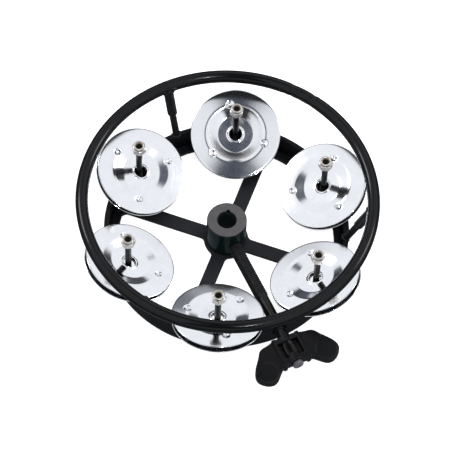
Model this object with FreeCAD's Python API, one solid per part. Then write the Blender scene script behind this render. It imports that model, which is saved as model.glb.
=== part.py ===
import FreeCAD, Part
import math
import os

# Rod-mounted tambourine: a round-bar hoop over a lower band, a four-spoke plate
# with a clamping hub, six studs that carry pairs of loose jingles under lock
# nuts, and a radial wing screw.  Millimetres, +Z up.
# Origin: the hub bore's axis at the underside of the plate.

os.makedirs("parts", exist_ok=True)
V = FreeCAD.Vector
Z = V(0, 0, 1)

# ---- driving dimensions -------------------------------------------------
HOOP_R = 78.7            # upper hoop, centreline radius
HOOP_BAR = 7.0           # its bar diameter
HOOP_Z = 45.0            # its centreline height
BAND_RO = 67.3           # lower band, outer radius
BAND_T = 2.6             # its wall
BAND_H = 14.5            # its height
PLATE_T = 2.2            # spider plate thickness
RING_RI = 59.6           # inner radius of the plate's rim ring
SPOKE_W = 8.0
SPOKE_A = (0.0, 90.0, 180.0, 270.0)
BOSS_R = 12.3            # round centre of the plate
LUG_R = 5.2              # round lug under each stud
BORE_D = 10.3            # rod bore through plate and hub
HUB_D = 21.9
HUB_TOP = 22.3
HUB_CH = 0.45            # chamfer of the hub's top edge
KEY_W = 2.0              # small slot beside the bore
KEY_D = 1.1
KEY_H = 3.0
POST_PCR = 59.0          # studs' pitch circle radius
POST_A = (45.0, 105.0, 165.0, 225.0, 285.0, 345.0)
POST_D = 3.5             # rolled-thread stud, plain shank
POST_THREAD_D = 4.0      # M4
POST_THREAD_Z = 37.3
NUT_AF = 7.0             # M4 prevailing-torque nut
NUT_H = 5.0
NUT_TOP = 43.8
NUT_HEX_H = 3.3
NUT_COLLAR_D = 6.3
INSERT_OD = 5.2
INSERT_ID = 3.5
INSERT_H = 1.6
PILLAR_A = (15.0, 135.0, 255.0)
PILLAR_D = 3.9           # pillar's lower shank
PILLAR_HEAD_D = 5.5      # its thick upper end
PILLAR_FOOT = (66.2, 14.5)    # (radius, height) of the axis at the band
PILLAR_SHOULDER = (71.4, 27.2)
PILLAR_TOP = (77.6, 43.8)     # inside the hoop's bar
JINGLE_R = 25.0
JINGLE_HOLE_R = 3.45
JINGLE_LIP_R = 4.6       # rolled lip round the hole
JINGLE_LIP_H = 0.55
JINGLE_FLOOR_R = 10.4
JINGLE_STEP_R = 16.5
JINGLE_T = 0.7           # sheet
JINGLE_DEPTH = 2.0
JINGLE_DROP = 0.6        # the flange falls this much from step to rim
JINGLE_GAP = 0.06        # half the gap between the floors of a pair
# per pair: (stud angle, lean towards the hub in degrees, centre's radial offset
# from the stud, centre height)
PAIRS = (
    ("a", 45.0, 21.0, -0.3, 17.10),
    ("b", 105.0, 22.0, -0.3, 17.08),
    ("c", 165.0, 21.0, -0.8, 16.92),
    ("d", 225.0, 20.0, -0.5, 17.03),
    ("e", 285.0, 18.5, -0.8, 16.95),
    ("f", 345.0, 20.0, -0.5, 17.03),
)
SCREW_A = -45.0          # direction of the wing screw
SCREW_Z = 9.5            # height of its axis
SCREW_D = 7.3            # thread of 1.27 mm pitch, over its crests
SCREW_HOLE_D = 7.4       # tapped hole in the hub
SHANK_D = 6.3
CORE_D = 5.5             # stepped down inside the handle
TIP_D = 4.2              # dog point
TIP_U0 = 5.35            # radial place of the dog point's end
TIP_U1 = 8.35
THREAD_U1 = 44.3
TAPER_U1 = 46.2
BAND_HOLE_D = 8.4
BAND_HOLE_Z = 9.3
H0 = 68.1                # radial place of the handle's datum
COLLAR_D = 6.9
WING_T = 3.8
KNURL_D = 5.9
BUTTON_D = 6.0


def cyl(r, h, z0):
    return Part.makeCylinder(r, h, V(0, 0, z0), Z)


def polar(r, a, z=0.0):
    t = math.radians(a)
    return V(r * math.cos(t), r * math.sin(t), z)


def turned(shape, a):
    s = shape.copy()
    s.rotate(V(0, 0, 0), Z, a)
    return s


def revolve(pts, solid=True):
    """Closed (radius, height) outline turned about +Z."""
    vs = [V(r, 0, z) for r, z in pts]
    w = Part.makePolygon(vs + [vs[0]])
    return Part.Face(w).revolve(V(0, 0, 0), Z, 360)


def bar(p0, p1, r0, r1=None):
    d = p1.sub(p0)
    if r1 is None or abs(r1 - r0) < 1e-9:
        return Part.makeCylinder(r0, d.Length, p0, d)
    return Part.makeCone(r0, r1, d.Length, p0, d)


def save(shape, name):
    s = shape
    if s.ShapeType == "Compound" and len(s.Solids) == 1:
        s = s.Solids[0]
    assert s.isValid(), name
    assert len(s.Solids) >= 1, name
    s.exportStep("parts/%s.step" % name)
    print(name, "solids", len(s.Solids), "vol %.1f" % s.Volume,
          "box %.1f %.1f %.1f / %.1f %.1f %.1f" % (
              s.BoundBox.XMin, s.BoundBox.YMin, s.BoundBox.ZMin,
              s.BoundBox.XMax, s.BoundBox.YMax, s.BoundBox.ZMax))
    return s


# ---- upper hoop -----------------------------------------------------------
hoop = Part.makeTorus(HOOP_R, HOOP_BAR / 2, V(0, 0, HOOP_Z), Z)
save(hoop, "upper_hoop")

# ---- lower band -------------------------------------------------------------
screw_dir = polar(1, SCREW_A)
screw_o = V(0, 0, SCREW_Z)


def along(u, z=SCREW_Z):
    return V(screw_dir.x * u, screw_dir.y * u, z)


BAND_RI = BAND_RO - BAND_T
c = 0.35
band = revolve([(BAND_RI, 0), (BAND_RO - c, 0), (BAND_RO, c), (BAND_RO, BAND_H - c),
                (BAND_RO - c, BAND_H), (BAND_RI + c, BAND_H), (BAND_RI, BAND_H - c)])
band = band.cut(Part.makeCylinder(BAND_HOLE_D / 2, 12, along(BAND_RI - 6, BAND_HOLE_Z), screw_dir))
save(band, "lower_band")

# ---- spider plate -----------------------------------------------------------
plate = cyl(BAND_RI, PLATE_T, 0).cut(cyl(RING_RI, PLATE_T, 0))
plate = plate.fuse(cyl(BOSS_R, PLATE_T, 0))
for a in SPOKE_A:
    sp = Part.makeBox(RING_RI + 1.0 - 6.0, SPOKE_W, PLATE_T, V(6.0, -SPOKE_W / 2, 0))
    plate = plate.fuse(turned(sp, a))
for a in POST_A:
    plate = plate.fuse(cyl(LUG_R, PLATE_T, 0).translated(polar(POST_PCR, a)))
plate = plate.common(cyl(BAND_RI, PLATE_T, 0)).removeSplitter()
# fillets where the spokes meet the ring and the boss
corner = [e for e in plate.Edges
          if abs(e.BoundBox.ZLength - PLATE_T) < 1e-6 and e.BoundBox.XLength < 1e-6
          and e.BoundBox.YLength < 1e-6]
spoke_corner = []
for e in corner:
    p = e.CenterOfMass
    r = math.hypot(p.x, p.y)
    ang = math.degrees(math.atan2(p.y, p.x)) % 90.0
    off = min(ang, 90.0 - ang)
    if off < 20.0 and (abs(r - BOSS_R) < 0.3 or abs(r - RING_RI) < 0.3) and \
            abs(r * math.sin(math.radians(off)) - SPOKE_W / 2) < 0.05:
        spoke_corner.append(e)
if spoke_corner:
    plate = plate.makeFillet(3.0, spoke_corner)
plate = plate.cut(cyl(BORE_D / 2, PLATE_T, 0))
for a in POST_A:
    plate = plate.cut(cyl(POST_D / 2, PLATE_T, 0).translated(polar(POST_PCR, a)))
save(plate, "spider_plate")

# ---- hub ---------------------------------------------------------------------
R = HUB_D / 2
B = BORE_D / 2
hub = revolve([(B, PLATE_T), (R, PLATE_T), (R, HUB_TOP - HUB_CH), (R - HUB_CH, HUB_TOP),
               (B + 0.5, HUB_TOP), (B, HUB_TOP - 0.5)])
key = Part.makeBox(KEY_D + 1.0, KEY_W, KEY_H, V(B - 1.0, -KEY_W / 2, HUB_TOP - KEY_H))
hub = hub.cut(turned(key, 102.0))
hub = hub.cut(Part.makeCylinder(SCREW_HOLE_D / 2, 14, along(2.0), screw_dir))
save(hub, "clamp_hub")

# ---- studs, lock nuts, nylon rings -----------------------------------------
posts, nuts, inserts = [], [], []
for i, a in enumerate(POST_A):
    p = polar(POST_PCR, a)
    s = cyl(POST_D / 2, POST_THREAD_Z - 0.3, 0)
    s = s.fuse(Part.makeCone(POST_D / 2, POST_THREAD_D / 2, 0.3, V(0, 0, POST_THREAD_Z - 0.3), Z))
    s = s.fuse(cyl(POST_THREAD_D / 2, NUT_TOP - INSERT_H - 0.3 - POST_THREAD_Z, POST_THREAD_Z))
    s = s.fuse(cyl(INSERT_ID / 2, 1.0, NUT_TOP - INSERT_H - 0.3)).removeSplitter()
    posts.append(s.translated(p))
    z0 = NUT_TOP - NUT_H
    hexa = [V(NUT_AF / math.sqrt(3) * math.cos(math.radians(60 * k)),
              NUT_AF / math.sqrt(3) * math.sin(math.radians(60 * k)), z0) for k in range(6)]
    n = Part.Face(Part.makePolygon(hexa + [hexa[0]])).extrude(V(0, 0, NUT_HEX_H))
    # corner chamfers above and below
    rc = NUT_AF / math.sqrt(3)
    n = n.common(revolve([(0, z0), (NUT_AF / 2 + 0.05, z0), (rc + 0.01, z0 + 0.33),
                          (rc + 0.01, z0 + NUT_HEX_H - 0.33), (NUT_AF / 2 + 0.05, z0 + NUT_HEX_H),
                          (0, z0 + NUT_HEX_H)]))
    n = n.fuse(revolve([(0, z0 + NUT_HEX_H), (NUT_COLLAR_D / 2, z0 + NUT_HEX_H),
                        (NUT_COLLAR_D / 2, NUT_TOP - 0.5), (NUT_COLLAR_D / 2 - 0.5, NUT_TOP),
                        (0, NUT_TOP)])).removeSplitter()
    n = n.cut(cyl(POST_THREAD_D / 2, NUT_H, z0))
    n = n.cut(cyl(INSERT_OD / 2, INSERT_H, NUT_TOP - INSERT_H - 0.3))
    n = n.cut(cyl(INSERT_OD / 2 - 0.35, 1.0, NUT_TOP - 0.4))
    n = turned(n, (17.0 + 23.0 * i) % 60.0)
    nuts.append(n.translated(p))
    k = cyl(INSERT_OD / 2, INSERT_H, NUT_TOP - INSERT_H - 0.3)
    k = k.cut(cyl(INSERT_ID / 2, INSERT_H, NUT_TOP - INSERT_H - 0.3))
    inserts.append(k.translated(p))
save(Part.makeCompound(posts), "jingle_posts")
save(Part.makeCompound(nuts), "lock_nuts")
save(Part.makeCompound(inserts), "nylon_rings")

# ---- pillars between band and hoop ------------------------------------------
for i, a in enumerate(PILLAR_A):
    (r0, z0), (r1, z1), (r2, z2) = PILLAR_FOOT, PILLAR_SHOULDER, PILLAR_TOP
    d = V(r2 - r0, 0, z2 - z0)
    length = d.Length
    d.normalize()
    sh = (z1 - z0) / (z2 - z0) * length          # shoulder's place along the axis
    prof = [(0, -4.0), (PILLAR_D / 2, -4.0), (PILLAR_D / 2, sh),
            (PILLAR_HEAD_D / 2, sh + 1.3), (PILLAR_HEAD_D / 2, length), (0, length)]
    s = revolve(prof)
    s.rotate(V(0, 0, 0), V(0, 1, 0), math.degrees(math.atan2(d.x, d.z)))
    s.translate(V(r0, 0, z0))
    # the foot stands on the band's top edge, the head is coped to the hoop's bar
    s = s.cut(Part.makeBox(40, 40, 40, V(50, -20, BAND_H - 40)))
    s = turned(s, a).cut(hoop)
    sol = sorted(s.Solids, key=lambda q: -q.Volume)[0]
    save(sol, "pillar_%d" % (i + 1))

# ---- jingles --------------------------------------------------------------------
def jingle_profile():
    g, t, dp = JINGLE_GAP, JINGLE_T, JINGLE_DEPTH
    top = g + t
    q = JINGLE_DROP
    return [(JINGLE_HOLE_R, g), (JINGLE_FLOOR_R, g), (JINGLE_STEP_R + 0.15, g + dp),
            (JINGLE_R - 0.2, g + dp - q), (JINGLE_R, g + dp + 0.2 - q), (JINGLE_R, top + dp - 0.2 - q),
            (JINGLE_R - 0.2, top + dp - q), (JINGLE_STEP_R, top + dp),
            (JINGLE_STEP_R - 0.45, top + dp - 0.25), (JINGLE_FLOOR_R - 0.15, top),
            (JINGLE_LIP_R, top), (JINGLE_LIP_R - 0.35, top + JINGLE_LIP_H),
            (JINGLE_HOLE_R, top + JINGLE_LIP_H)]


upper = revolve(jingle_profile())
lower = upper.copy()
lower.rotate(V(0, 0, 0), V(1, 0, 0), 180)
PAIR_SHAPES = {}
for name, a, tilt, dr, zc in PAIRS:
    for kind, base in (("upper", upper), ("lower", lower)):
        s = base.copy()
        # lean: the outer side rises, the side towards the hub drops
        s.rotate(V(0, 0, 0), V(0, 1, 0), -tilt)
        s.translate(V(POST_PCR + dr, 0, zc))
        s = turned(s, a)
        PAIR_SHAPES[(name, kind)] = save(s, "jingle_%s_%s" % (name, kind))

# ---- wing screw -------------------------------------------------------------------
def on_axis(profile):
    """(radius, u) outline turned about the screw's axis."""
    s = revolve([(r, u) for r, u in profile])
    s.rotate(V(0, 0, 0), V(0, 1, 0), 90)      # +Z to +X
    s = turned(s, SCREW_A)
    s.translate(V(0, 0, SCREW_Z))
    return s


tip = on_axis([(0, TIP_U0), (TIP_D / 2 - 0.4, TIP_U0), (TIP_D / 2, TIP_U0 + 0.4),
               (TIP_D / 2, TIP_U1), (0, TIP_U1)])
save(tip, "screw_dog_point")
K0, K1 = H0 + 8.2, H0 + 17.6
rod = on_axis([(0, TIP_U1), (SCREW_D / 2 - 0.7, TIP_U1), (SCREW_D / 2, TIP_U1 + 0.7),
               (SCREW_D / 2, THREAD_U1), (SHANK_D / 2, TAPER_U1), (SHANK_D / 2, H0 - 0.05),
               (CORE_D / 2, H0 - 0.05), (CORE_D / 2, K0),
               (KNURL_D / 2, K0 + 0.3), (KNURL_D / 2, K1 - 0.3), (CORE_D / 2, K1),
               (CORE_D / 2, H0 + 21.2), (0, H0 + 21.2)])
save(rod, "wing_screw")
button = on_axis([(0, H0 + 21.2), (CORE_D / 2, H0 + 21.2), (BUTTON_D / 2, H0 + 21.2),
                  (BUTTON_D / 2, H0 + 22.6), (BUTTON_D / 2 - 0.7, H0 + 23.3), (0, H0 + 23.3)])
save(button, "screw_end_button")


# handle: one moulding, built flat with its axis along +X, then placed
WING = [(4.9, 7.2), (5.7, 9.2), (6.3, 11.8), (6.7, 14.2), (7.8, 16.2), (10.2, 17.9), (12.8, 19.9),
        (15.4, 21.9), (18.0, 23.5), (20.4, 24.3), (22.6, 24.25), (24.6, 23.2), (26.3, 21.5),
        (27.6, 19.2), (28.0, 16.8), (27.3, 14.5), (25.4, 12.3), (23.6, 10.5), (22.0, 8.9)]


def paddle(sign):
    pts = [V(a, sign * v, -WING_T / 2) for a, v in WING]
    cur = Part.BSplineCurve()
    cur.interpolate(pts)
    e = [cur.toShape(),
         Part.makeLine(pts[-1], V(21.8, sign * 6.0, -WING_T / 2)),
         Part.makeLine(V(21.8, sign * 6.0, -WING_T / 2), V(4.7, sign * 6.0, -WING_T / 2)),
         Part.makeLine(V(4.7, sign * 6.0, -WING_T / 2), pts[0])]
    return Part.Face(Part.Wire(e)).extrude(V(0, 0, WING_T))


def hbox(a0, a1, v0, v1, w0, w1):
    return Part.makeBox(a1 - a0, v1 - v0, w1 - w0, V(a0, v0, w0))


handle = paddle(1)
handle = handle.fuse(paddle(-1))
for s in (1, -1):
    v0, v1 = sorted((s * 5.9, s * 7.9))
    handle = handle.fuse(hbox(4.7, 22.2, v0, v1, -3.0, 3.0))       # rails beside the windows
handle = handle.fuse(hbox(4.9, 8.0, -7.0, 7.0, -2.6, 2.6))         # front web
handle = handle.fuse(hbox(17.8, 21.2, -7.0, 7.0, -3.0, 3.0))       # rear web
for s in (1, -1):
    v0, v1 = sorted((s * 1.5, s * 6.2))
    handle = handle.fuse(hbox(7.5, 18.3, v0, v1, -2.7, -1.4))      # floors of the two pockets
col = Part.makeCylinder(COLLAR_D / 2, 6.0, V(2.1, 0, 0), V(1, 0, 0))
handle = handle.fuse(col)
boss = Part.makeCylinder(4.1, 5.0, V(16.2, 0, 0), V(1, 0, 0))
handle = handle.fuse(boss).removeSplitter()
handle = handle.cut(Part.makeCylinder(CORE_D / 2, 30, V(0, 0, 0), V(1, 0, 0)))
handle = handle.cut(Part.makeCylinder(KNURL_D / 2 + 0.001, 9.4, V(8.2, 0, 0), V(1, 0, 0)))
handle.translate(V(H0, 0, 0))
handle = turned(handle, SCREW_A)
handle.translate(V(0, 0, SCREW_Z))
sol = sorted(handle.Solids, key=lambda q: -q.Volume)
print("handle solids", [round(q.Volume, 1) for q in sol])
handle = save(sol[0], "wing_handle")
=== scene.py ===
import bpy
import bmesh
import math
from mathutils import Matrix, Vector, noise

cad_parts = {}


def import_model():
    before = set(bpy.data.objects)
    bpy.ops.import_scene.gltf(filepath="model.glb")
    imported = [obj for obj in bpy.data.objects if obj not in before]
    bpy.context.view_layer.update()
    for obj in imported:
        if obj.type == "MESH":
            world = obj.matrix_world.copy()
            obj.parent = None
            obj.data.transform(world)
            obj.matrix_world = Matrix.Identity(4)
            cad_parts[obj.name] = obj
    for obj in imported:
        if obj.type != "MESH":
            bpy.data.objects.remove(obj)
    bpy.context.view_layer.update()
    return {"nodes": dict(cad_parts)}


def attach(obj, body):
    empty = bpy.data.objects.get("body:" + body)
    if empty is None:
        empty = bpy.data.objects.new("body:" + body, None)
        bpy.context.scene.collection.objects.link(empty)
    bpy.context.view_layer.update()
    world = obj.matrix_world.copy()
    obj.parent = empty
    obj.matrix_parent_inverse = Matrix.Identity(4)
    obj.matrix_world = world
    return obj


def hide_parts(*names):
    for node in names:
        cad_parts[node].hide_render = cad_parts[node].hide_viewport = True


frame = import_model()

MM = 0.001
pi = math.pi
cos, sin, rad = math.cos, math.sin, math.radians

# ---- dimensions in millimetres, as in the CAD ------------------------------
HOOP_R, HOOP_BAR, HOOP_Z = 78.7, 7.0, 45.0
BAND_RO, BAND_RI, BAND_H = 67.3, 64.7, 14.5
PLATE_T = 2.2
POST_PCR = 59.0
POST_A = (45.0, 105.0, 165.0, 225.0, 285.0, 345.0)
PILLAR_A = (15.0, 135.0, 255.0)
PAIRS = (
    # name, stud angle, lean, radial offset, height, dimple phase above, below
    ("a", 45.0, 21.0, -0.3, 17.10, 38.0, 10.0),
    ("b", 105.0, 22.0, -0.3, 17.08, 16.0, 71.0),
    ("c", 165.0, 21.0, -0.8, 16.92, 2.5, 47.0),
    ("d", 225.0, 20.0, -0.5, 17.03, 17.0, 90.0),
    ("e", 285.0, 18.5, -0.8, 16.95, 19.7, 55.0),
    ("f", 345.0, 20.0, -0.5, 17.03, 11.6, 33.0),
)
SCREW_A, SCREW_Z, H0 = -45.0, 9.5, 68.1


# ======================= mesh helpers ========================================
def finish_mesh(name, bm, sharp=32.0, matrix=None, recalc=True):
    """bmesh in millimetres -> object in metres."""
    bmesh.ops.scale(bm, vec=(MM, MM, MM), verts=bm.verts)
    if recalc:
        bmesh.ops.recalc_face_normals(bm, faces=bm.faces)
    me = bpy.data.meshes.new(name)
    bm.to_mesh(me)
    bm.free()
    return from_mesh(name, me, sharp, matrix)


def from_mesh(name, me, sharp=32.0, matrix=None):
    ob = bpy.data.objects.new(name, me)
    bpy.context.scene.collection.objects.link(ob)
    if matrix is not None:
        ob.matrix_world = matrix
    smooth(ob, sharp)
    return ob


def smooth(ob, sharp):
    me = ob.data
    me.polygons.foreach_set("use_smooth", [True] * len(me.polygons))
    me.set_sharp_from_angle(angle=rad(sharp))
    me.update()


def settle(ob, sharp=32.0):
    """Applies the modifiers."""
    dg = bpy.context.evaluated_depsgraph_get()
    me = bpy.data.meshes.new_from_object(ob.evaluated_get(dg))
    ob.modifiers.clear()
    ob.data = me
    smooth(ob, sharp)


def add_rings(bm, rings, loop=False, cap0=False, cap1=False):
    """Quads between successive rings of equal length; loop joins last to first."""
    rows = [[bm.verts.new(p) for p in ring] for ring in rings]
    n = len(rows[0])
    pairs = list(zip(rows, rows[1:])) + ([(rows[-1], rows[0])] if loop else [])
    for a, b in pairs:
        for i in range(n):
            j = (i + 1) % n
            bm.faces.new((a[i], a[j], b[j], b[i]))
    for row, want in ((rows[0], cap0), (rows[-1], cap1)):
        if want:
            mid = Vector((0, 0, 0))
            for v in row:
                mid += v.co
            c = bm.verts.new(mid / n)
            for i in range(n):
                bm.faces.new((row[i], row[(i + 1) % n], c))
    return rows


def ring(r, z, n, at=(0.0, 0.0), phase=0.0):
    f = r if callable(r) else (lambda t: r)
    return [Vector((at[0] + f(t) * cos(t + phase), at[1] + f(t) * sin(t + phase), z))
            for t in (2 * pi * i / n for i in range(n))]


def lathe(bm, prof, n, loop=True, at=(0.0, 0.0), cap0=False, cap1=False, phase=0.0):
    return add_rings(bm, [ring(r, z, n, at, phase) for r, z in prof], loop, cap0, cap1)


def finer(prof, step, lo=-1e9, hi=1e9):
    """Splits the profile's long runs where the radius lies in lo..hi."""
    out = []
    for (r0, z0), (r1, z1) in zip(prof, prof[1:] + prof[:1]):
        out.append((r0, z0))
        d = math.hypot(r1 - r0, z1 - z0)
        if min(r0, r1) < hi and max(r0, r1) > lo and d > step:
            k = int(d / step) + 1
            out += [(r0 + (r1 - r0) * i / k, z0 + (z1 - z0) * i / k) for i in range(1, k)]
    return out


def cut(ob, cutter, sharp=32.0):
    m = ob.modifiers.new("cut", "BOOLEAN")
    m.operation, m.object, m.solver = "DIFFERENCE", cutter, "EXACT"
    bpy.context.view_layer.update()
    settle(ob, sharp)
    bpy.data.objects.remove(cutter)


def bevel(ob, width, segs=2, angle=40.0, sharp=32.0):
    m = ob.modifiers.new("edge", "BEVEL")
    m.width, m.segments, m.limit_method, m.angle_limit = width * MM, segs, "ANGLE", rad(angle)
    m.use_clamp_overlap = True
    m.miter_outer = "MITER_ARC"
    settle(ob, sharp)


def cylinder(name, r, z0, z1, n=64, matrix=None):
    bm = bmesh.new()
    lathe(bm, [(r, z0), (r, z1)], n, loop=False, cap0=True, cap1=True)
    return finish_mesh(name, bm, matrix=matrix)


def from_node(name, node, sharp=32.0):
    """A copy of a CAD node's mesh, joined up, for rounding."""
    bm = bmesh.new()
    bm.from_mesh(frame["nodes"][node].data)
    bmesh.ops.remove_doubles(bm, verts=bm.verts, dist=2e-6)
    bmesh.ops.dissolve_limit(bm, angle_limit=rad(0.4), verts=bm.verts, edges=bm.edges)
    bmesh.ops.triangulate(bm, faces=[f for f in bm.faces if len(f.verts) > 4])
    bmesh.ops.recalc_face_normals(bm, faces=bm.faces)
    me = bpy.data.meshes.new(name)
    bm.to_mesh(me)
    bm.free()
    return from_mesh(name, me, sharp)


def bead(bm, path, rad_mm, seed, n=12, lump=0.22, every=0.55):
    """A closed weld bead: a tube along the path, rippled like laid metal."""
    m = len(path)
    mid = Vector((0, 0, 0))
    for p in path:
        mid += p
    mid /= m
    lengths = [0.0]
    for i in range(m):
        lengths.append(lengths[-1] + (path[(i + 1) % m] - path[i]).length)
    turns = max(3, round(lengths[-1] / every))
    rows = []
    for i, p in enumerate(path):
        t = (path[(i + 1) % m] - path[i - 1]).normalized()
        out = (p - mid).normalized()
        nrm = (out - t * out.dot(t)).normalized()
        bi = t.cross(nrm)
        s = lengths[i] / lengths[-1]
        row = []
        for k in range(n):
            a = 2 * pi * k / n
            d = nrm * cos(a) + bi * sin(a)
            q = p + d * rad_mm
            w = 1.0 + lump * 0.45 * abs(sin(pi * turns * s + 0.5 * cos(a)))
            w += lump * noise.noise(q * 0.9 + Vector((seed * 7.1, seed * 3.3, 0.0)))
            row.append(p + d * rad_mm * w)
        rows.append(row)
    add_rings(bm, rows, loop=True)


# ======================= materials ============================================
class Mat:
    def __init__(self, name):
        self.m = bpy.data.materials.new(name)
        self.m.use_nodes = True
        self.nt = self.m.node_tree
        self.b = self.nt.nodes["Principled BSDF"]
        self.co = self.nt.nodes.new("ShaderNodeTexCoord").outputs["Object"]

    def put(self, **kw):
        for k, v in kw.items():
            self.b.inputs[k.replace("_", " ")].default_value = v
        return self

    def noise(self, scale, detail=2.0, rough=0.5, vec=None, distort=0.0):
        n = self.nt.nodes.new("ShaderNodeTexNoise")
        self.nt.links.new(vec or self.co, n.inputs["Vector"])
        n.inputs["Scale"].default_value = scale
        n.inputs["Detail"].default_value = detail
        n.inputs["Roughness"].default_value = rough
        n.inputs["Distortion"].default_value = distort
        return n.outputs[0]

    def span(self, v, a, b, c, d):
        n = self.nt.nodes.new("ShaderNodeMapRange")
        self.nt.links.new(v, n.inputs[0])
        for i, x in enumerate((a, b, c, d)):
            n.inputs[i + 1].default_value = x
        return n.outputs[0]

    def ramp(self, v, *stops):
        n = self.nt.nodes.new("ShaderNodeValToRGB")
        self.nt.links.new(v, n.inputs[0])
        e = n.color_ramp.elements
        while len(e) < len(stops):
            e.new(0.5)
        for el, (p, c) in zip(e, stops):
            el.position, el.color = p, (*c, 1.0)
        return n.outputs[0]

    def math(self, op, a, b=0.0):
        n = self.nt.nodes.new("ShaderNodeMath")
        n.operation = op
        for s, x in zip(n.inputs, (a, b)):
            if isinstance(x, (int, float)):
                s.default_value = x
            else:
                self.nt.links.new(x, s)
        return n.outputs[0]

    def scaled(self, v):
        n = self.nt.nodes.new("ShaderNodeVectorMath")
        n.operation = "MULTIPLY"
        self.nt.links.new(self.co, n.inputs[0])
        n.inputs[1].default_value = v
        return n.outputs[0]

    def length(self, vec):
        n = self.nt.nodes.new("ShaderNodeVectorMath")
        n.operation = "LENGTH"
        self.nt.links.new(vec, n.inputs[0])
        return n.outputs["Value"]

    def bump(self, h, strength, dist_mm, normal=None):
        n = self.nt.nodes.new("ShaderNodeBump")
        n.inputs["Strength"].default_value = strength
        n.inputs["Distance"].default_value = dist_mm * MM
        self.nt.links.new(h, n.inputs["Height"])
        if normal is not None:
            self.nt.links.new(normal, n.inputs["Normal"])
        return n.outputs[0]

    def to(self, socket, v):
        self.nt.links.new(v, self.b.inputs[socket])


def coat(name, dark, light, r0, r1, spec, peel=1500.0, strength=0.25, depth=0.02, metal=0.0, patch=120.0):
    """Paint or moulded plastic: slow tone drift, fine skin, dust specks."""
    m = Mat(name)
    m.put(Metallic=metal, Specular_IOR_Level=spec)
    drift = m.noise(patch, 4.0, 0.6)
    m.to("Base Color", m.ramp(drift, (0.3, dark), (0.7, light)))
    fine = m.noise(peel, 3.0, 0.6)
    m.to("Roughness", m.span(m.noise(patch * 3.0, 5.0, 0.65), 0.3, 0.7, r0, r1))
    m.to("Normal", m.bump(fine, strength, depth, m.bump(m.noise(peel * 0.22, 2.0), strength * 0.6, depth * 2.0)))
    return m.m


def turned_metal(name, low, high, r0, r1, aniso, ring_scale, strength, depth, mottle=160.0, uv=None):
    """Spun or turned metal: grooves round the axis, which the map gives as (turn, radius)."""
    m = Mat(name)
    m.put(Metallic=1.0, Anisotropic=aniso, Anisotropic_Rotation=0.25)
    if uv:
        tan = m.nt.nodes.new("ShaderNodeTangent")
        tan.direction_type, tan.uv_map = "UV_MAP", uv
        m.nt.links.new(tan.outputs[0], m.b.inputs["Tangent"])
        src = m.nt.nodes.new("ShaderNodeUVMap")
        src.uv_map = uv
        sep = m.nt.nodes.new("ShaderNodeSeparateXYZ")
        m.nt.links.new(src.outputs[0], sep.inputs[0])
        comb = m.nt.nodes.new("ShaderNodeCombineXYZ")
        m.nt.links.new(sep.outputs[1], comb.inputs[0])
        vec = comb.outputs[0]
    else:
        vec = m.co
    groove = m.noise(ring_scale, 3.0, 0.7, vec=vec)
    mott = m.noise(mottle, 6.0, 0.7)
    grain = m.noise(mottle * 16.0, 2.0, 0.8)
    tone = m.math("ADD", m.math("MULTIPLY", mott, 0.55), m.math("MULTIPLY", grain, 0.45))
    m.to("Base Color", m.ramp(tone, (0.33, low), (0.62, high)))
    m.to("Roughness", m.span(m.math("ADD", m.math("MULTIPLY", groove, 0.5), m.math("MULTIPLY", mott, 0.5)),
                             0.3, 0.7, r0, r1))
    m.to("Normal", m.bump(groove, strength, depth, m.bump(grain, 0.05, 0.012)))
    return m.m


MAT_HOOP = coat("hoop_black", (0.0020, 0.0021, 0.0026), (0.0038, 0.0040, 0.0048), 0.11, 0.17, 0.24, 1300.0, 0.05, 0.012)
MAT_BAND = coat("band_black", (0.0026, 0.0027, 0.0034), (0.0048, 0.0050, 0.0060), 0.42, 0.56, 0.13, 1500.0, 0.25, 0.03)
MAT_PLATE = coat("plate_black", (0.0085, 0.0090, 0.0112), (0.0135, 0.0142, 0.0172), 0.50, 0.62, 0.18, 1500.0, 0.25, 0.03)
MAT_PILLAR = coat("pillar_black", (0.0035, 0.0037, 0.0045), (0.0070, 0.0074, 0.0085), 0.30, 0.46, 0.22, 1100.0, 0.45, 0.05)
MAT_WELD = coat("weld_black", (0.0030, 0.0032, 0.0040), (0.0085, 0.0088, 0.0100), 0.34, 0.56, 0.25, 900.0, 0.6, 0.09)
MAT_STUD = coat("stud_black", (0.0012, 0.0012, 0.0015), (0.0026, 0.0027, 0.0031), 0.16, 0.26, 0.09, 1800.0, 0.12, 0.02)
MAT_SCREW = coat("screw_black", (0.0045, 0.0043, 0.0046), (0.0100, 0.0098, 0.0105), 0.26, 0.40, 0.35, 1600.0, 0.3, 0.03)


def thread_material():
    """Oiled black steel: crests painted lighter as a painted highlight, broken by random wear; roots painted near-black
    as painted shade.
    """
    m = Mat("thread_black")
    m.put(Specular_IOR_Level=0.36)
    r = m.length(m.scaled((1.0, 1.0, 0.0)))
    crest = m.span(r, 0.00325, 0.00360, 0.0, 1.0)
    crest_sheen_and_wear = m.span(m.noise(900.0, 4.0, 0.7), 0.3, 0.7, 0.55, 1.0)
    # Painted highlight and painted shade: the crest mask times the wear noise ramps from near-black roots (painted
    # shade) to lighter crests (painted highlight).
    m.to("Base Color", m.ramp(m.math("MULTIPLY", crest, crest_sheen_and_wear), (0.25, (0.0006, 0.0005, 0.0005)), (0.9, (0.026, 0.026, 0.030))))
    m.to("Roughness", m.span(crest, 0.0, 1.0, 0.34, 0.20))
    m.to("Normal", m.bump(m.noise(1600.0, 3.0, 0.6), 0.25, 0.02))
    return m.m


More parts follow.
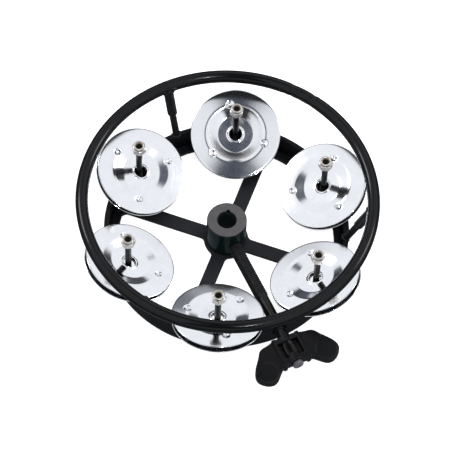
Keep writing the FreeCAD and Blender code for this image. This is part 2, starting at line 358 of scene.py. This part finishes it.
MAT_SCREW = thread_material()
MAT_HANDLE = coat("handle_black", (0.0022, 0.0023, 0.0029), (0.0042, 0.0044, 0.0053), 0.26, 0.36, 0.20, 2600.0, 0.35, 0.03, patch=60.0)
MAT_BUTTON = coat("button_grey", (0.070, 0.066, 0.078), (0.100, 0.095, 0.108), 0.42, 0.55, 0.4, 2200.0, 0.25, 0.02)
MAT_NYLON = coat("nylon", (0.16, 0.125, 0.10), (0.26, 0.21, 0.17), 0.45, 0.6, 0.4, 2000.0, 0.3, 0.02)
MAT_JINGLE = turned_metal("jingle_steel", (0.80, 0.82, 0.86), (0.90, 0.91, 0.935), 0.10, 0.15, 0.4, 125.0, 0.12, 0.006, uv="turning")
MAT_NUT = turned_metal("zinc_nut", (0.50, 0.47, 0.45), (0.76, 0.73, 0.70), 0.22, 0.38, 0.0, 3000.0, 0.25, 0.02, mottle=420.0)


def hub_material():
    """Glossy dark green-black on the sides, brushed satin on the top face."""
    m = Mat("hub_black")
    m.put(Specular_IOR_Level=0.30)
    geo = m.nt.nodes.new("ShaderNodeNewGeometry")
    sep = m.nt.nodes.new("ShaderNodeSeparateXYZ")
    m.nt.links.new(geo.outputs["True Normal"], sep.inputs[0])
    pos = m.nt.nodes.new("ShaderNodeSeparateXYZ")
    m.nt.links.new(m.co, pos.inputs[0])
    up = m.span(sep.outputs["Z"], 0.55, 0.95, 0.0, 1.0)
    high = m.span(pos.outputs["Z"], 0.0212, 0.0216, 0.0, 1.0)
    face = m.math("MULTIPLY", up, high)
    cloud = m.noise(420.0, 5.0, 0.7)
    grain = m.noise(5200.0, 2.0, 0.7)
    side = m.ramp(cloud, (0.3, (0.0012, 0.0058, 0.0052)), (0.7, (0.0026, 0.0092, 0.0084)))
    top = m.ramp(m.math("ADD", m.math("MULTIPLY", cloud, 0.5), m.math("MULTIPLY", grain, 0.5)),
                 (0.35, (0.050, 0.048, 0.050)), (0.65, (0.078, 0.074, 0.076)))
    mix = m.nt.nodes.new("ShaderNodeMix")
    mix.data_type = "RGBA"
    m.nt.links.new(face, mix.inputs[0])
    m.nt.links.new(side, mix.inputs[6])
    m.nt.links.new(top, mix.inputs[7])
    m.to("Base Color", mix.outputs[2])
    inner = m.span(m.length(m.scaled((1.0, 1.0, 0.0))), 0.0053, 0.0057, 0.75, 0.0)
    rough = m.math("ADD", m.math("MULTIPLY", face, 0.34), m.span(cloud, 0.3, 0.7, 0.12, 0.2))
    m.to("Roughness", m.math("MAXIMUM", rough, inner))
    m.to("Normal", m.bump(grain, 0.15, 0.01))
    return m.m


MAT_HUB = hub_material()


def piece(ob, body, slot, mat, *nodes):
    ob.data.materials.clear()
    ob.data.materials.append(mat)
    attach(ob, body)
    if nodes:
        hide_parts(*nodes)
    return ob


# ======================= upper hoop ============================================
def hoop_point(a, b, r):
    r -= 0.03
    return Vector(((HOOP_R + r * cos(b)) * cos(a), (HOOP_R + r * cos(b)) * sin(a), HOOP_Z + r * sin(b)))


def make_hoop():
    bm = bmesh.new()
    n, k, w = 288, 40, 78.0
    fine = [w + d * 0.2 for d in range(-60, 61)]
    angles = sorted([rad(a) for a in fine] + [rad(a) for a in (360.0 * i / n for i in range(n)) if abs(a - w) > 12.3])
    rows = []
    for a in angles:
        d = math.degrees(a) - w
        # butt weld, ground nearly flush: shallow flats and two faint necks
        flat = math.exp(-(d / 8.0) ** 6)
        neck = 0.20 * math.exp(-((d - 4.6) / 0.9) ** 2) + 0.24 * math.exp(-((d + 4.4) / 0.8) ** 2)
        rows.append([hoop_point(a, 2 * pi * j / k, HOOP_BAR / 2 - neck * (0.7 + 0.3 * sin(2 * pi * j / k + d))
                                - flat * 0.26 * (0.5 + 0.5 * noise.noise(Vector((d * 0.35, 1.7 * cos(2 * pi * j / k), 1.7 * sin(2 * pi * j / k))))))
                     for j in range(k)])
    add_rings(bm, rows, loop=True)
    return finish_mesh("hoop_bar", bm, 60.0)


piece(make_hoop(), "frame", "frame_black", MAT_HOOP, "upper_hoop")

# ======================= lower band =============================================
M_SCREW = Matrix.Translation((0, 0, SCREW_Z * MM)) @ Matrix.Rotation(rad(SCREW_A), 4, "Z") @ Matrix.Rotation(rad(90), 4, "Y")


def round_rect(r0, r1, z0, z1, q, k=4):
    """Closed (radius, height) outline with rounded corners."""
    out = []
    for cx, cz, a0 in ((r1 - q, z1 - q, 0), (r0 + q, z1 - q, 90), (r0 + q, z0 + q, 180), (r1 - q, z0 + q, 270)):
        out += [(cx + q * cos(rad(a0 + 90 * i / k)), cz + q * sin(rad(a0 + 90 * i / k))) for i in range(k + 1)]
    return out


def make_band():
    bm = bmesh.new()
    lathe(bm, finer(round_rect(BAND_RI, BAND_RO, 0.0, BAND_H, 0.42), 2.4), 288)
    ob = finish_mesh("band_ring", bm)
    hole = cylinder("hole", 4.2 * MM / MM, BAND_RI - 6.0, BAND_RI + 6.0, 72,
                    Matrix.Translation((0, 0, -0.2 * MM)) @ M_SCREW)
    cut(ob, hole)
    bevel(ob, 0.35, 3, 60.0)
    return ob


piece(make_band(), "frame", "frame_black", MAT_BAND, "lower_band")

# ======================= spider plate ===========================================
plate = from_node("spider", "spider_plate")
mod = plate.modifiers.new("skin", "REMESH")
mod.mode, mod.voxel_size = "VOXEL", 0.3 * MM
mod = plate.modifiers.new("soft", "SMOOTH")
mod.factor, mod.iterations = 0.5, 3
settle(plate, 180.0)
piece(plate, "frame", "frame_black", MAT_PLATE, "spider_plate")


# ======================= hub ======================================================
def make_hub():
    bm = bmesh.new()
    R, B, T = 10.95, 5.15, 22.3
    prof = [(B, PLATE_T), (R, PLATE_T), (R, 5.0), (R, 12.0), (R, T - 0.55), (R - 0.04, T - 0.40), (R - 0.22, T - 0.17),
            (R - 0.42, T - 0.03), (R - 0.6, T), (R - 1.4, T), (B + 1.4, T), (B + 0.62, T), (B + 0.5, T - 0.03), (B + 0.2, T - 0.25),
            (B + 0.03, T - 0.5), (B, T - 0.62), (B, 14.0), (B, 8.0)]
    lathe(bm, prof, 160)
    ob = finish_mesh("hub_block", bm, 38.0)
    bm = bmesh.new()
    bmesh.ops.create_cube(bm, size=1.0)
    bmesh.ops.scale(bm, vec=(2.1, 2.0, 3.2), verts=bm.verts)
    key = finish_mesh("key", bm, matrix=Matrix.Rotation(rad(102), 4, "Z") @
                      Matrix.Translation(((B + 0.05) * MM, 0, (T - 3.0 + 1.6) * MM)))
    cut(ob, key, 38.0)
    cut(ob, cylinder("hole", 3.7, 2.0, 16.0, 64, M_SCREW), 38.0)
    bevel(ob, 0.12, 2, 55.0, 38.0)
    return ob


piece(make_hub(), "frame", "hub_black", MAT_HUB, "clamp_hub")

# ======================= studs, lock nuts, nylon ====================================
def thread_radius(u, t, pitch, crest, root):
    f = (u / pitch - t / (2 * pi)) % 1.0
    f = abs(f - 0.5) * 2.0                    # 0 in the middle of a crest
    flat, low = 0.24, 0.80
    x = min(max((f - flat) / (low - flat), 0.0), 1.0)
    return crest + (root - crest) * x


def make_studs():
    bm = bmesh.new()
    for a in POST_A:
        at = (POST_PCR * cos(rad(a)), POST_PCR * sin(rad(a)))
        prof = [(1.55, 0.0), (1.75, 0.2), (1.75, 8.0), (1.75, 16.0), (1.75, 26.0), (1.75, 35.2)]
        rings = [ring(r, z, 48, at) for r, z in prof]
        z = 35.3
        while z < 42.6:
            up = min(max((z - 35.3) / 1.2, 0.0), 1.0)
            top = min(max((42.9 - z) / 0.5, 0.0), 1.0)
            rings.append(ring(lambda t, z=z, up=up, top=top: min(
                1.75 + (thread_radius(z, t, 0.7, 1.98, 1.58) - 1.75) * up, 1.5 + 0.5 * top), z, 48, at))
            z += 0.07
        rings += [ring(1.5, 42.75, 48, at), ring(1.1, 42.9, 48, at)]
        add_rings(bm, rings, cap0=True, cap1=True)
    return finish_mesh("studs", bm, 50.0)


piece(make_studs(), "frame", "frame_black", MAT_STUD, "jingle_posts")


def make_nuts():
    bm = bmesh.new()
    n = 120
    base, top = 38.8, 42.1

    def hexr(t):
        f = (t % (pi / 3)) - pi / 6
        r = 3.5 / cos(f)
        return r - 0.09 * max(0.0, (r - 3.9) / 0.14)

    for i, a in enumerate(POST_A):
        at = (POST_PCR * cos(rad(a)), POST_PCR * sin(rad(a)))
        ph = rad((17.0 + 23.0 * i) % 60.0 + a * 0.0)
        prof = [(2.25, base), (2.0, base + 0.25), (2.0, 40.4), (2.0, 41.9), (2.6, 41.9), (2.6, 43.42), (2.27, 43.46),
                (2.25, 43.6), (2.30, 43.72), (2.42, 43.8), (2.70, 43.8), (2.92, 43.74), (3.07, 43.58), (3.15, 43.3),
                (3.15, 42.6), (3.16, 42.3), (3.22, 42.16), (3.35, top)]
        rings = [ring(r, z, n, at, ph) for r, z in prof]
        for z in (top, top - 0.05, top - 0.12, top - 0.2, top - 0.28, top - 0.36):
            rings.append(ring(lambda t, z=z: min(hexr(t), 3.47 + (top - z) * 1.75), z, n, at, ph))
        for z in (41.2, 40.0, 39.4):
            rings.append(ring(hexr, z, n, at, ph))
        for z in (base + 0.36, base + 0.28, base + 0.2, base + 0.12, base + 0.05, base):
            rings.append(ring(lambda t, z=z: min(hexr(t), 3.47 + (z - base) * 1.75), z, n, at, ph))
        add_rings(bm, rings, loop=True)
    return finish_mesh("nuts", bm, 34.0)


piece(make_nuts(), "frame", "zinc_nut", MAT_NUT, "lock_nuts")

bm = bmesh.new()
for i, a in enumerate(POST_A):
    at = (POST_PCR * cos(rad(a)), POST_PCR * sin(rad(a)))
    lathe(bm, [(1.76, 41.95), (1.76, 42.9), (1.82, 43.2), (1.98, 43.42), (2.2, 43.5), (2.45, 43.46), (2.58, 43.36),
               (2.59, 42.7), (2.59, 41.95)], 64, at=at)
piece(finish_mesh("nylon_inserts", bm, 50.0), "frame", "nylon", MAT_NYLON, "nylon_rings")


# ======================= pillars with weld beads ======================================
def make_pillar(i, ang):
    r0, z0, r2, z2 = 66.2, 14.5, 77.6, 43.8
    zs = 27.2
    d = Vector((r2 - r0, 0, z2 - z0))
    length = d.length
    d.normalize()
    sh = (zs - z0) / (z2 - z0) * length
    axis_m = Matrix.Translation((r0, 0, z0)) @ Vector((0, 0, 1)).rotation_difference(d).to_matrix().to_4x4()
    n = 48
    prof = [(1.95, 0.6), (1.95, 4.0), (1.95, sh - 0.5), (1.97, sh - 0.1), (2.08, sh + 0.25), (2.35, sh + 0.7),
            (2.6, sh + 1.05), (2.73, sh + 1.45), (2.75, sh + 1.9), (2.75, sh + 6.0), (2.75, sh + 12.0)]
    bm = bmesh.new()
    turn = Matrix.Rotation(rad(ang), 4, "Z")
    rings = []
    # the foot ends on the band's top edge
    foot = []
    for p in ring(1.95, 0.0, n):
        q = axis_m @ p
        s = (14.52 - q.z) / d.z
        foot.append(q + d * s)
    rings.append(foot)
    rings += [[axis_m @ p for p in ring(r, z, n)] for r, z in prof]
    # the head is coped to the hoop's bar
    head = []
    for p in ring(2.75, sh + 12.0, n):
        q = axis_m @ p
        best = (1e9, q)
        for _ in range(400):
            e = math.hypot(math.hypot(q.x, q.y) - HOOP_R, q.z - HOOP_Z)
            best = min(best, (e, q), key=lambda b: b[0])
            if e < HOOP_BAR / 2 - 0.25:
                break
            q = q + d * 0.03
        head.append(best[1])
    rings.append(head)
    rings = [[turn @ p for p in r] for r in rings]
    add_rings(bm, rings, cap0=True, cap1=True)
    ob = finish_mesh("pillar_bar_%d" % i, bm, 60.0)
    piece(ob, "frame", "frame_black", MAT_PILLAR, "pillar_%d" % i)
    # weld beads at foot and head
    bm = bmesh.new()
    path = []
    for k in range(64):
        t = 2 * pi * k / 64
        p = axis_m @ Vector((2.12 * cos(t), 2.12 * sin(t), 0))
        p = p + d * ((14.62 - p.z) / d.z)
        if p.x > BAND_RO - 0.55:
            over = p.x - (BAND_RO - 0.55)
            p = Vector((BAND_RO - 0.35 + 0.15 * over, p.y, 14.5 - 0.85 * over))
        path.append(turn @ p)
    bead(bm, path, 0.62, 11 + i, 12, 0.5, 0.9)
    path = []
    for k in range(64):
        t = 2 * pi * k / 64
        q = axis_m @ Vector((2.85 * cos(t), 2.85 * sin(t), sh + 10.0))
        best = (1e9, q)
        for _ in range(450):
            e = math.hypot(math.hypot(q.x, q.y) - HOOP_R, q.z - HOOP_Z)
            best = min(best, (e, q), key=lambda b: b[0])
            if e < HOOP_BAR / 2 + 0.05:
                break
            q = q + d * 0.02
        e, q = best
        f = (HOOP_BAR / 2 + 0.05) / e         # beside the bar: slide in to its skin
        h = math.hypot(q.x, q.y)
        g = HOOP_R + (h - HOOP_R) * f
        q = Vector((q.x * g / h, q.y * g / h, min(HOOP_Z + (q.z - HOOP_Z) * f, HOOP_Z + 1.2)))
        path.append(turn @ q)
    bead(bm, path, 0.55, 21 + i, 12, 0.45, 0.9)
    piece(finish_mesh("pillar_weld_%d" % i, bm, 80.0), "frame", "frame_black", MAT_WELD)


for i, ang in enumerate(PILLAR_A):
    make_pillar(i + 1, ang)


# ======================= jingles ========================================================
JINGLE = [(3.56, 0.06), (3.46, 0.12), (3.45, 0.24), (3.45, 1.02), (3.50, 1.18), (3.62, 1.28), (3.80, 1.31), (4.0, 1.29),
          (4.2, 1.2), (4.38, 1.06), (4.52, 0.93), (4.68, 0.83), (4.95, 0.77), (5.4, 0.76), (9.6, 0.76), (10.0, 0.775),
          (10.35, 0.83), (10.8, 0.94), (15.0, 2.288), (15.4, 2.407), (15.8, 2.505), (16.2, 2.584), (16.6, 2.644),
          (17.0, 2.683), (17.6, 2.705), (24.4, 2.705), (24.68, 2.685), (24.88, 2.60), (24.98, 2.47), (25.0, 2.36), (24.97, 2.22),
          (24.85, 2.11), (24.65, 2.06), (17.1, 2.06), (16.75, 2.03), (16.45, 1.93), (10.95, 0.22), (10.55, 0.12),
          (10.1, 0.07), (9.6, 0.06)]
JPROF = finer(finer(JINGLE, 0.9), 0.36, 13.9, 19.6)
JN = 252


def make_jingle(name, m, phase, seed):
    """A pressed disc: floor, cone, flat flange, rolled lip, three punched dimples."""
    bm = bmesh.new()
    uv = bm.loops.layers.uv.new("turning")
    dimples = [(16.75 * cos(rad(phase + k * 120)), 16.75 * sin(rad(phase + k * 120))) for k in range(3)]
    rows = []
    for r, z in JPROF:
        row = []
        for j in range(JN):
            t = 2 * pi * j / JN
            x, y = r * cos(t), r * sin(t)
            dz = 0.0
            for cx, cy in dimples:
                d = math.hypot(x - cx, y - cy)
                if d < 2.4:
                    dz -= 1.0 * (0.5 + 0.5 * cos(pi * d / 2.4)) ** 0.8
            if r > 16.5:
                dz -= (0.6 + 0.02 * sin(2 * t + seed)) * (r - 16.5) / 8.5
            elif 5.0 < r < 15.0:
                dz += 0.010 * sin(3 * t + seed) * sin(pi * (r - 5.0) / 10.0)
            row.append(bm.verts.new(m @ Vector((x, y, z + dz))))
        rows.append(row)
    k = len(rows)
    for i in range(k):
        a, b = rows[i], rows[(i + 1) % k]
        ra, rb = JPROF[i][0] / 25.0, JPROF[(i + 1) % k][0] / 25.0
        for j in range(JN):
            q = (j + 1) % JN
            face = bm.faces.new((a[j], a[q], b[q], b[j]))
            for loop, st in zip(face.loops, ((j / JN, ra), ((j + 1) / JN, ra), ((j + 1) / JN, rb), (j / JN, rb))):
                loop[uv].uv = st
    return finish_mesh(name, bm, 50.0)


for k, (name, a, tilt, dr, zc, ph_u, ph_l) in enumerate(PAIRS):
    base = (Matrix.Rotation(rad(a), 4, "Z") @ Matrix.Translation((POST_PCR + dr, 0, zc)) @
            Matrix.Rotation(rad(-tilt), 4, "Y"))
    for kind, m, ph in (("upper", base, ph_u), ("lower", base @ Matrix.Rotation(pi, 4, "X"), ph_l)):
        ob = make_jingle("disc_%s_%s" % (name, kind), m, ph, k * 1.3 + len(kind))
        piece(ob, "%s_jingle_%s" % (kind, name), "jingle_steel", MAT_JINGLE, "jingle_%s_%s" % (name, kind))


# ======================= wing screw =======================================================
def make_screw():
    n = 144
    K0, K1 = H0 + 8.2, H0 + 17.6
    rings = [ring(2.2, 8.35, n), ring(2.86, 8.4, n)]
    u = 8.45
    while u < 46.2:
        c = min(1.0, max(0.0, (u - 8.45) / 0.8))
        s = min(1.0, max(0.0, (u - 44.3) / 1.9))

        def f(t, u=u, c=c, s=s):
            r = thread_radius(u, t, 1.27, 3.65, 2.92)
            r = min(r, 2.86 + 0.80 * c)
            return r * (1 - s) + (3.65 - 0.5 * s) * s
        rings.append(ring(f, u, n))
        u += 0.1
    for u in (46.3, 50.0, 56.0, 62.0, 67.9):
        rings.append(ring(3.15, u, n))
    rings += [ring(3.1, 68.0, n), ring(2.95, 68.05, n)]
    for u in (68.06, K0 - 0.3, K0 - 0.02):
        rings.append(ring(2.75, u, n))

    def kn(t, amp):
        f = (t * 36 / (2 * pi)) % 1.0
        return 2.95 - 0.28 * amp * abs(2 * f - 1)
    for u, q, amp in ((K0, 2.76, 0.2), (K0 + 0.3, 0, 1.0), (K0 + 3.0, 0, 1.0), (K0 + 6.0, 0, 1.0), (K1 - 0.3, 0, 1.0), (K1, 2.76, 0.2)):
        rings.append(ring((lambda t, amp=amp: kn(t, amp)) if not q else q, u, n))
    for u in (K1 + 0.05, H0 + 19.0, H0 + 21.15):
        rings.append(ring(2.75, u, n))
    bm = bmesh.new()
    add_rings(bm, rings, cap0=True, cap1=True)
    return finish_mesh("screw_rod", bm, 34.0, M_SCREW)


piece(make_screw(), "wing_screw", "screw_black", MAT_SCREW, "wing_screw")

bm = bmesh.new()
lathe(bm, [(1.0, 5.35), (1.55, 5.36), (1.82, 5.45), (2.0, 5.62), (2.1, 5.9), (2.1, 7.0), (2.1, 8.1), (2.05, 8.35)], 64,
      loop=False, cap0=True, cap1=True)
piece(finish_mesh("dog_end", bm, 50.0, M_SCREW), "dog_point", "screw_black", MAT_SCREW, "screw_dog_point")

bm = bmesh.new()
e = H0 + 21.2
lathe(bm, [(2.6, e - 0.02), (2.93, e + 0.02), (3.0, e + 0.15), (3.0, e + 1.35), (2.97, e + 1.6), (2.84, e + 1.85), (2.6, e + 2.02),
           (2.25, e + 2.09), (1.6, e + 2.1), (1.35, e + 2.06), (1.25, e + 1.9), (0.6, e + 1.88)], 72,
      loop=False, cap0=True, cap1=True)
piece(finish_mesh("end_button", bm, 55.0, M_SCREW), "wing_screw", "button_grey", MAT_BUTTON, "screw_end_button")


def make_handle():
    ob = from_node("handle", "wing_handle")
    m = ob.modifiers.new("skin", "REMESH")
    m.mode, m.voxel_size = "VOXEL", 0.27 * MM
    m = ob.modifiers.new("soft", "SMOOTH")
    m.factor, m.iterations = 0.5, 7
    settle(ob, 180.0)
    me = ob.data
    inv = (Matrix.Translation((0, 0, SCREW_Z * MM)) @ Matrix.Rotation(rad(SCREW_A), 4, "Z")).inverted()
    back = inv.inverted()
    for v in me.vertices:
        p = (inv @ v.co) / MM
        a, lat, w = p.x - H0, abs(p.y), p.z
        if lat > 8.6:
            # wings: crowned section, thinner to the rim, and a plain round field near the tip
            d = math.hypot(a - 20.9, lat - 17.4)
            step = 0.22 * (1.0 - min(1.0, max(0.0, (d - 5.6) / 0.5)))
            s = min(1.0, (lat - 8.6) / 2.0)
            w *= 1.0 + step * s / 1.9
            p.z = w
            v.co = back @ (p * MM)
    me.update()
    smooth(ob, 180.0)
    return ob


piece(make_handle(), "wing_screw", "handle_black", MAT_HANDLE, "wing_handle")


# ======================= floor, world, lights, camera ========================================
bm = bmesh.new()
bmesh.ops.create_grid(bm, x_segments=2, y_segments=2, size=4.0)
me = bpy.data.meshes.new("floor")
bm.to_mesh(me)
bm.free()
floor = bpy.data.objects.new("floor", me)
bpy.context.scene.collection.objects.link(floor)
fm = Mat("floor_white")
fm.put(Base_Color=(0.62, 0.62, 0.62, 1), Roughness=0.9, Specular_IOR_Level=0.1,
       Emission_Color=(1, 1, 1, 1), Emission_Strength=0.86)
floor.data.materials.append(fm.m)
floor.location.z = -0.0003                # clear of the plate's flat underside
floor.visible_glossy = False              # a lit surface far below, out of the polished parts' sight


STRIP_X, STRIP_W = 0.03, 0.088


def world():
    w = bpy.data.worlds.new("studio")
    bpy.context.scene.world = w
    w.use_nodes = True
    nt = w.node_tree
    bg = nt.nodes["Background"]
    co = nt.nodes.new("ShaderNodeTexCoord").outputs["Generated"]

    def mask(direction, inner, outer):
        d = Vector(direction).normalized()
        dot = nt.nodes.new("ShaderNodeVectorMath")
        dot.operation = "DOT_PRODUCT"
        nt.links.new(co, dot.inputs[0])
        dot.inputs[1].default_value = d
        mr = nt.nodes.new("ShaderNodeMapRange")
        mr.interpolation_type = "SMOOTHSTEP"
        nt.links.new(dot.outputs["Value"], mr.inputs[0])
        for i, x in enumerate((cos(rad(outer)), cos(rad(inner)), 0.0, 1.0)):
            mr.inputs[i + 1].default_value = x
        return mr.outputs[0]

    def pol(az, el):
        return (cos(rad(az)) * cos(rad(el)), sin(rad(az)) * cos(rad(el)), sin(rad(el)))

    def mixed(fac, a, b):
        m = nt.nodes.new("ShaderNodeMix")
        m.data_type = "RGBA"
        nt.links.new(fac, m.inputs[0])
        for s, x in ((6, a), (7, b)):
            if isinstance(x, tuple):
                m.inputs[s].default_value = (*x, 1.0)
            else:
                nt.links.new(x, m.inputs[s])
        return m.outputs[2]

    def dotted(v):
        n = nt.nodes.new("ShaderNodeVectorMath")
        n.operation = "DOT_PRODUCT"
        nt.links.new(co, n.inputs[0])
        n.inputs[1].default_value = v
        return n.outputs["Value"]

    def calc(op, a, b=0.0):
        n = nt.nodes.new("ShaderNodeMath")
        n.operation = op
        for sock, x in zip(n.inputs, (a, b)):
            if isinstance(x, (int, float)):
                sock.default_value = x
            else:
                nt.links.new(x, sock)
        return n.outputs[0]

    def step(v, a, b):
        n = nt.nodes.new("ShaderNodeMapRange")
        n.interpolation_type = "SMOOTHSTEP"
        nt.links.new(v, n.inputs[0])
        for i, x in enumerate((a, b, 0.0, 1.0)):
            n.inputs[i + 1].default_value = x
        return n.outputs[0]

    # an open white studio with a dark gap overhead that widens towards the front
    c = mixed(mask((0, 0, 1), 62, 84), (0.80, 0.825, 0.87), (0.95, 0.96, 0.985))
    x = calc("ABSOLUTE", calc("ADD", dotted((0.943, 0.333, 0.0)), STRIP_X))
    y = dotted((-0.333, 0.943, 0.0))
    wide = calc("ADD", STRIP_W, calc("MULTIPLY", calc("MAXIMUM", calc("SUBTRACT", calc("MULTIPLY", y, -1.0), 0.30), 0.0), 0.55))
    inside = step(calc("SUBTRACT", wide, x), -0.03, 0.05)
    strip = calc("MULTIPLY", inside, step(y, 0.62, 0.47))
    strip = calc("MULTIPLY", strip, step(y, -0.93, -0.80))
    c = mixed(strip, c, (0.040, 0.047, 0.070))
    up = dotted((0.0, 0.0, 1.0))
    low = step(up, 0.36, 0.20)
    back = step(y, -0.1, 0.5)
    c = mixed(calc("MULTIPLY", low, back), c, (0.070, 0.068, 0.075))
    across = dotted((0.943, 0.333, 0.0))
    side = step(across, 0.03, -0.05)
    rise = calc("ADD", up, calc("MULTIPLY", calc("MAXIMUM", calc("SUBTRACT", -0.12, across), 0.0), 0.2))
    c = mixed(calc("MULTIPLY", calc("MULTIPLY", step(rise, 0.45, 0.38), side), back), c, (0.085, 0.088, 0.110))
    c = mixed(step(up, 0.04, -0.04), c, (0.16, 0.18, 0.19))
    nt.links.new(c, bg.inputs["Color"])
    bg.inputs["Strength"].default_value = 1.0


world()


def area(name, loc, target, size, watts, colour=(1, 1, 1)):
    d = bpy.data.lights.new(name, "AREA")
    d.shape, d.size, d.energy, d.color = "DISK", size, watts, colour
    ob = bpy.data.objects.new(name, d)
    bpy.context.scene.collection.objects.link(ob)
    ob.location = loc
    ob.rotation_mode = "QUATERNION"
    ob.rotation_quaternion = (Vector(target) - Vector(loc)).to_track_quat("-Z", "Y")
    return ob


area("key", (0.49, -0.60, 1.42), (0, 0, 0.03), 0.13, 3.2)
area("fill_left", (-1.25, 0.15, 1.0), (0, 0, 0.03), 0.55, 6.0, (0.96, 0.98, 1.0))
area("fill_right", (1.2, 0.75, 1.0), (0, 0, 0.03), 0.55, 5.0, (1.0, 0.99, 0.97))
wash = area("wash", (0.5, 0.9, 1.9), (0, 0, 0), 1.0, 20.0)
wash.visible_glossy = False               # fills the floor, no second highlight

cam = bpy.data.cameras.new("camera")
cam.lens, cam.sensor_width, cam.sensor_fit = 211.775, 36.0, "HORIZONTAL"
cam.clip_start, cam.clip_end = 0.05, 20.0
co = bpy.data.objects.new("camera", cam)
bpy.context.scene.collection.objects.link(co)
right = Vector((0.94060, 0.33870, 0.02240))
back = -Vector((-0.15310, 0.48240, -0.86250))
back.normalize()
right = (right - back * right.dot(back)).normalized()
upv = back.cross(right)
co.matrix_world = Matrix(((right.x, upv.x, back.x, 0.22544), (right.y, upv.y, back.y, -0.70871),
                          (right.z, upv.z, back.z, 1.28125), (0, 0, 0, 1)))
bpy.context.scene.camera = co
bpy.context.scene.view_settings.view_transform = "Standard"

bpy.context.view_layer.update()
